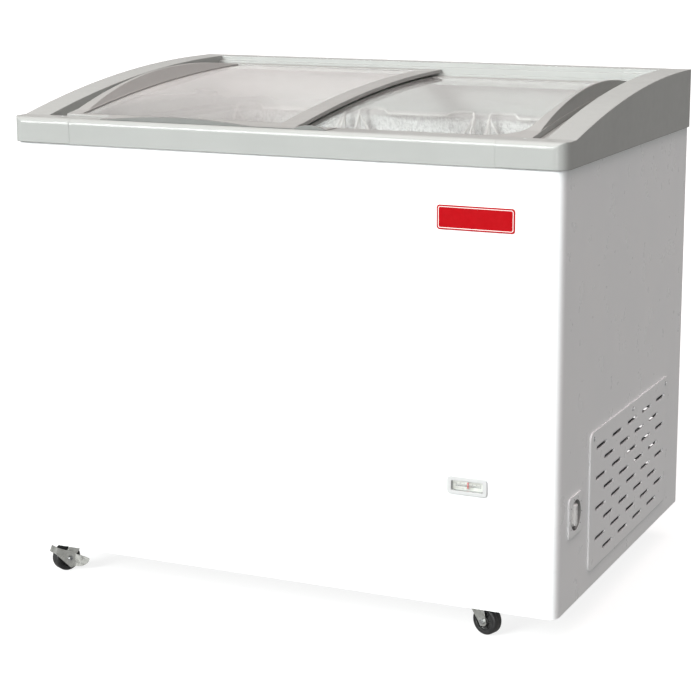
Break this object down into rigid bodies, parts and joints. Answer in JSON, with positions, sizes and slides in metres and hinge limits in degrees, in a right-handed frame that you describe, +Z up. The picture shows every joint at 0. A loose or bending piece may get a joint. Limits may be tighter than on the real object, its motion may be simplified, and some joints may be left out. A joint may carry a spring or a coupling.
{
  "type": "chest freezer",
  "caption": "Retail chest freezer: white steel cabinet on swivel casters, with curved sliding glass lids, hanging baskets, a side vent panel and a temperature dial.",
  "frame": {"origin": "centre of the outer footprint, on the floor", "axes": "+X to the right seen from the front (the machine bay's end), +Y to the back, +Z up"},
  "size_m": [1.03, 0.735, 0.914],
  "materials": {
    "white_steel": "gloss",
    "galvanised": "satin",
    "liner_aluminium": "satin",
    "foam": "matte",
    "grey_plastic": "satin",
    "white_plastic": "satin",
    "dark_plastic": "matte",
    "scale_card": "matte",
    "clear_window": "gloss",
    "red_pointer": "satin",
    "red_badge": "gloss",
    "screw_zinc": "satin",
    "black_iron": "gloss",
    "black_rubber": "matte",
    "dark_bolts": "satin",
    "condenser_metal": "satin",
    "fan_plastic": "matte",
    "copper": "satin",
    "lid_glass": "gloss",
    "basket_white": "satin",
    "caster_zinc": "satin",
    "black_tyre": "matte"
  },
  "bodies": {
    "cabinet": {"outer_wrapper": "white_steel", "back_panel": "galvanised", "base_pan": "galvanised", "inner_liner": "liner_aluminium", "foam_insulation": "foam", "rim_collar": "grey_plastic", "front_rail": "grey_plastic", "rear_rail": "grey_plastic", "left_end_cap": "grey_plastic", "right_end_cap": "grey_plastic", "panel_screws": "screw_zinc", "vent_panel": "white_plastic", "dial_plate": "white_plastic", "thermostat_body": "dark_plastic", "thermometer_bezel": "white_plastic", "thermometer_scale": "scale_card", "thermometer_lens": "clear_window", "front_badge": "red_badge", "compressor": "black_iron", "compressor_grommets": "black_rubber", "mounting_bolts": "dark_bolts", "compressor_tray": "galvanised", "condenser": "condenser_metal", "fan_motor": "dark_plastic", "fan_bracket": "galvanised", "starter_box": "dark_plastic", "filter_drier": "copper", "refrigerant_pipes": "copper", "evaporator_tube": "copper", "cord_gland": "black_rubber", "caster_plates": "caster_zinc"},
    "thermostat_knob": {"thermostat_knob": "white_plastic"},
    "thermometer_pointer": {"thermometer_pointer": "red_pointer"},
    "fan_blade": {"fan_blade": "fan_plastic"},
    "left_lid": {"left_lid_glass": "lid_glass", "left_lid_front_bar": "grey_plastic", "left_lid_rear_bar": "grey_plastic", "left_lid_grip": "grey_plastic", "left_lid_end_bar": "grey_plastic"},
    "right_lid": {"right_lid_glass": "lid_glass", "right_lid_front_bar": "grey_plastic", "right_lid_rear_bar": "grey_plastic", "right_lid_grip": "grey_plastic", "right_lid_end_bar": "grey_plastic"},
    "left_basket": {"left_basket": "basket_white"},
    "middle_basket": {"middle_basket": "basket_white"},
    "right_basket": {"right_basket": "basket_white"},
    "brake_lever": {"brake_lever": "caster_zinc"},
    "front_left_swivel": {"front_left_fork": "caster_zinc", "front_left_axle": "caster_zinc"},
    "front_left_wheel": {"front_left_wheel": "black_tyre"},
    "front_right_swivel": {"front_right_fork": "caster_zinc", "front_right_axle": "caster_zinc"},
    "front_right_wheel": {"front_right_wheel": "black_tyre"},
    "rear_left_swivel": {"rear_left_fork": "caster_zinc", "rear_left_axle": "caster_zinc"},
    "rear_left_wheel": {"rear_left_wheel": "black_tyre"},
    "rear_right_swivel": {"rear_right_fork": "caster_zinc", "rear_right_axle": "caster_zinc"},
    "rear_right_wheel": {"rear_right_wheel": "black_tyre"}
  },
  "joints": [
    {"name": "thermostat_knob_turn", "type": "hinge", "parent": "cabinet", "child": "thermostat_knob", "pos_m": [0.5, -0.2765, 0.223], "axis": [1, 0, 0], "range_deg": [-150, 150]},
    {"name": "thermometer_pointer_slide", "type": "slide", "parent": "cabinet", "child": "thermometer_pointer", "axis": [1, 0, 0], "range_m": [-0.02, 0.02]},
    {"name": "fan_spin", "type": "hinge", "parent": "cabinet", "child": "fan_blade", "pos_m": [0.406, -0.0465, 0.206], "axis": [1, 0, 0], "continuous": true},
    {"name": "left_lid_slide", "type": "slide", "parent": "cabinet", "child": "left_lid", "axis": [1, 0, 0], "range_m": [0, 0.36]},
    {"name": "right_lid_slide", "type": "slide", "parent": "cabinet", "child": "right_lid", "axis": [1, 0, 0], "range_m": [-0.36, 0]},
    {"name": "left_basket_lift", "type": "slide", "parent": "cabinet", "child": "left_basket", "axis": [0, 0, 1], "range_m": [0, 0.01]},
    {"name": "middle_basket_lift", "type": "slide", "parent": "cabinet", "child": "middle_basket", "axis": [0, 0, 1], "range_m": [0, 0.01]},
    {"name": "right_basket_lift", "type": "slide", "parent": "cabinet", "child": "right_basket", "axis": [0, 0, 1], "range_m": [0, 0.01]},
    {"name": "front_left_swivel_turn", "type": "hinge", "parent": "cabinet", "child": "front_left_swivel", "pos_m": [-0.463, -0.2915, 0.06], "axis": [0, 0, 1], "continuous": true},
    {"name": "front_left_wheel_spin", "type": "hinge", "parent": "front_left_swivel", "child": "front_left_wheel", "pos_m": [-0.47145, -0.30739, 0.025], "axis": [-0.8829, 0.4695, 0], "continuous": true},
    {"name": "front_right_swivel_turn", "type": "hinge", "parent": "cabinet", "child": "front_right_swivel", "pos_m": [0.348, -0.2915, 0.06], "axis": [0, 0, 1], "continuous": true},
    {"name": "front_right_wheel_spin", "type": "hinge", "parent": "front_right_swivel", "child": "front_right_wheel", "pos_m": [0.36512, -0.29706, 0.025], "axis": [-0.309, -0.9511, 0], "continuous": true},
    {"name": "rear_left_swivel_turn", "type": "hinge", "parent": "cabinet", "child": "rear_left_swivel", "pos_m": [-0.463, 0.2915, 0.06], "axis": [0, 0, 1], "continuous": true},
    {"name": "rear_left_wheel_spin", "type": "hinge", "parent": "rear_left_swivel", "child": "rear_left_wheel", "pos_m": [-0.44609, 0.28534, 0.025], "axis": [-0.342, -0.9397, 0], "continuous": true},
    {"name": "rear_right_swivel_turn", "type": "hinge", "parent": "cabinet", "child": "rear_right_swivel", "pos_m": [0.348, 0.2915, 0.06], "axis": [0, 0, 1], "continuous": true},
    {"name": "rear_right_wheel_spin", "type": "hinge", "parent": "rear_right_swivel", "child": "rear_right_wheel", "pos_m": [0.33169, 0.28389, 0.025], "axis": [-0.4226, 0.9063, 0], "continuous": true},
    {"name": "brake_lever_turn", "type": "hinge", "parent": "front_left_swivel", "child": "brake_lever", "pos_m": [-0.47145, -0.30739, 0.025], "axis": [-0.8829, 0.4695, 0], "range_deg": [-25, 0]}
  ]
}
